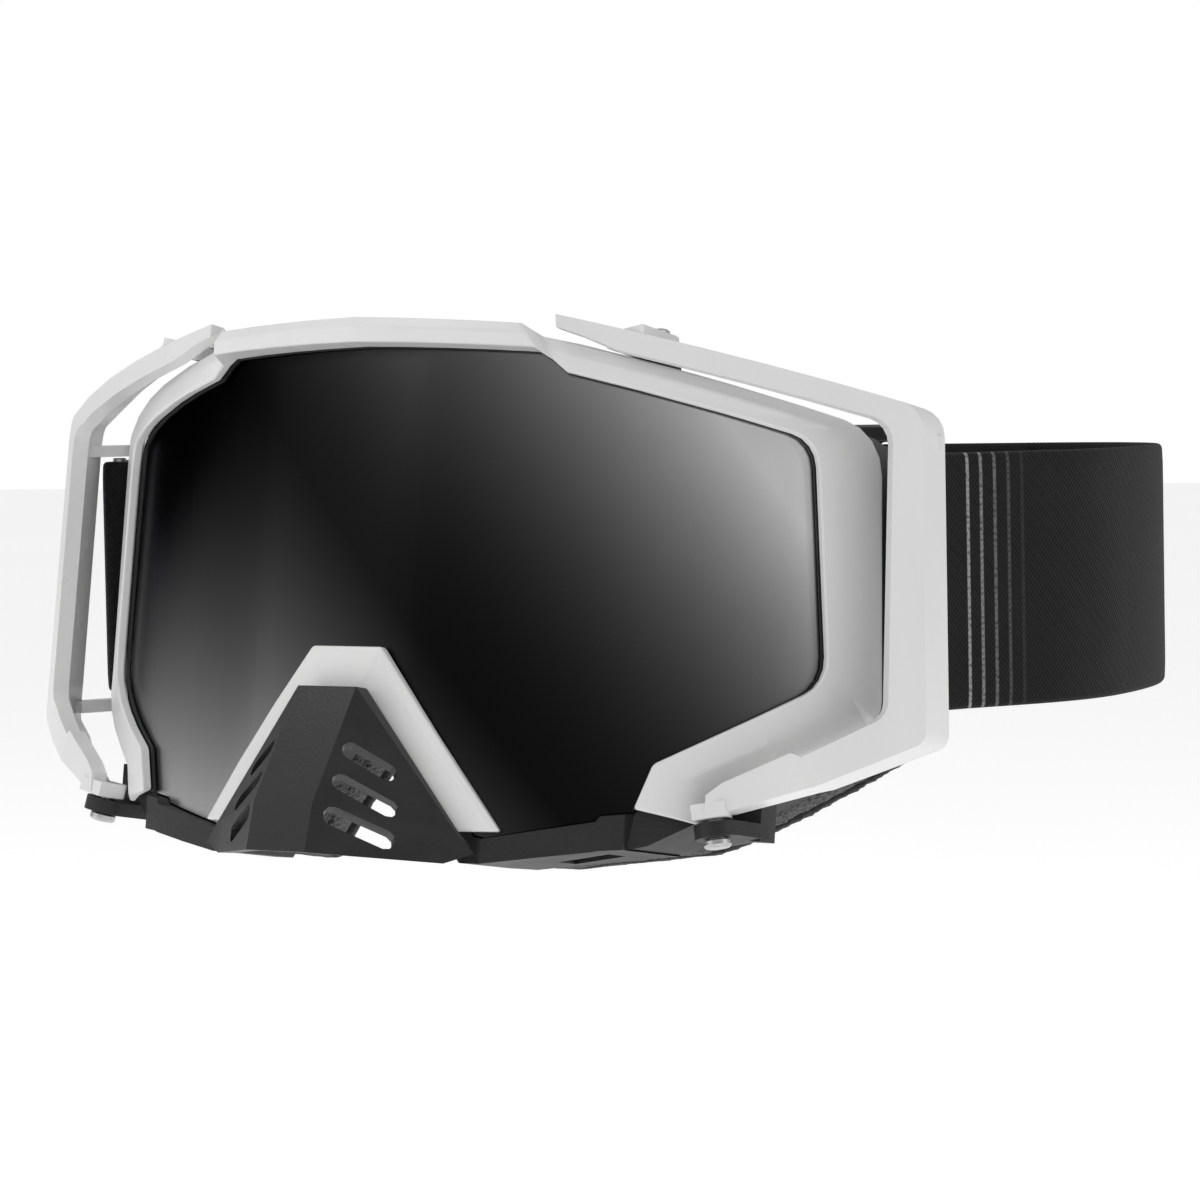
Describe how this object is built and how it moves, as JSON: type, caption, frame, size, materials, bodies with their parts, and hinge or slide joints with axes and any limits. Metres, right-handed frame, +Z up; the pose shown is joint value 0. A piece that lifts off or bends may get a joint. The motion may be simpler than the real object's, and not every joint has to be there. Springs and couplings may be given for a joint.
{
  "type": "motorcycle goggles",
  "caption": "Off-road motorcycle goggles: mirrored wraparound lens in a leaning frame with swinging strap outriggers, layered face foam, pull-off nose guard and an elastic head strap.",
  "frame": {"origin": "middle of the plane in which the face foam meets the face", "axes": "+X to the wearer's left, -Y out of the front of the lens, +Y into the face and towards the back of the head, +Z up; the strap is level and the lens leans back 9.5 degrees at the top"},
  "size_m": [0.2118, 0.182, 0.0995],
  "materials": {
    "white_plastic": "gloss",
    "black_plastic": "satin",
    "mirror_lens": "polished silver mirror coating on polycarbonate",
    "gasket_rubber": "matt",
    "face_foam": "open-cell foam",
    "fleece": "brushed",
    "webbing": "woven elastic with faded grey stripes",
    "steel": "satin",
    "silicone": "satin"
  },
  "bodies": {
    "frame": {"chassis": "black_plastic", "front_frame": "white_plastic", "lens_gasket": "gasket_rubber", "lens": "mirror_lens", "nose_chevron": "white_plastic", "foam_base": "face_foam", "foam_middle": "face_foam", "foam_fleece": "fleece", "vent_foam_top": "face_foam", "vent_foam_low_left": "face_foam", "vent_foam_low_right": "face_foam", "pivot_pin_top_left": "steel", "pivot_pin_top_right": "steel", "pivot_pin_low_left": "steel", "pivot_pin_low_right": "steel", "strap_left": "webbing", "strap_right": "webbing", "strap_rear": "webbing", "grip_line_1": "silicone", "grip_line_2": "silicone", "grip_line_3": "silicone"},
    "nose_guard": {"nose_guard": "black_plastic"},
    "outrigger_left": {"outrigger_left": "white_plastic", "strap_bar_left": "steel"},
    "outrigger_right": {"outrigger_right": "white_plastic", "strap_bar_right": "steel"},
    "slider_left": {"slider_left": "black_plastic"},
    "slider_right": {"slider_right": "black_plastic"}
  },
  "joints": [
    {"name": "outrigger_left_swing", "type": "hinge", "parent": "frame", "child": "outrigger_left", "pos_m": [0.05575, -0.01541, -0.00838], "axis": [-0.2047, 0.1671, 0.9645], "range_deg": [-3, 7], "deforming": ["strap_left"]},
    {"name": "outrigger_right_swing", "type": "hinge", "parent": "frame", "child": "outrigger_right", "pos_m": [-0.05575, -0.01541, -0.00838], "axis": [-0.2047, -0.1671, -0.9645], "range_deg": [-3, 7], "deforming": ["strap_right"]},
    {"name": "nose_guard_pull", "type": "slide", "parent": "frame", "child": "nose_guard", "axis": [0, -0.9863, 0.1649], "range_m": [0, 0.02]},
    {"name": "slider_left_slide", "type": "slide", "parent": "frame", "child": "slider_left", "axis": [1, 0, 0], "range_m": [0, 0.018]},
    {"name": "slider_right_slide", "type": "slide", "parent": "frame", "child": "slider_right", "axis": [-1, 0, 0], "range_m": [0, 0.018]}
  ]
}
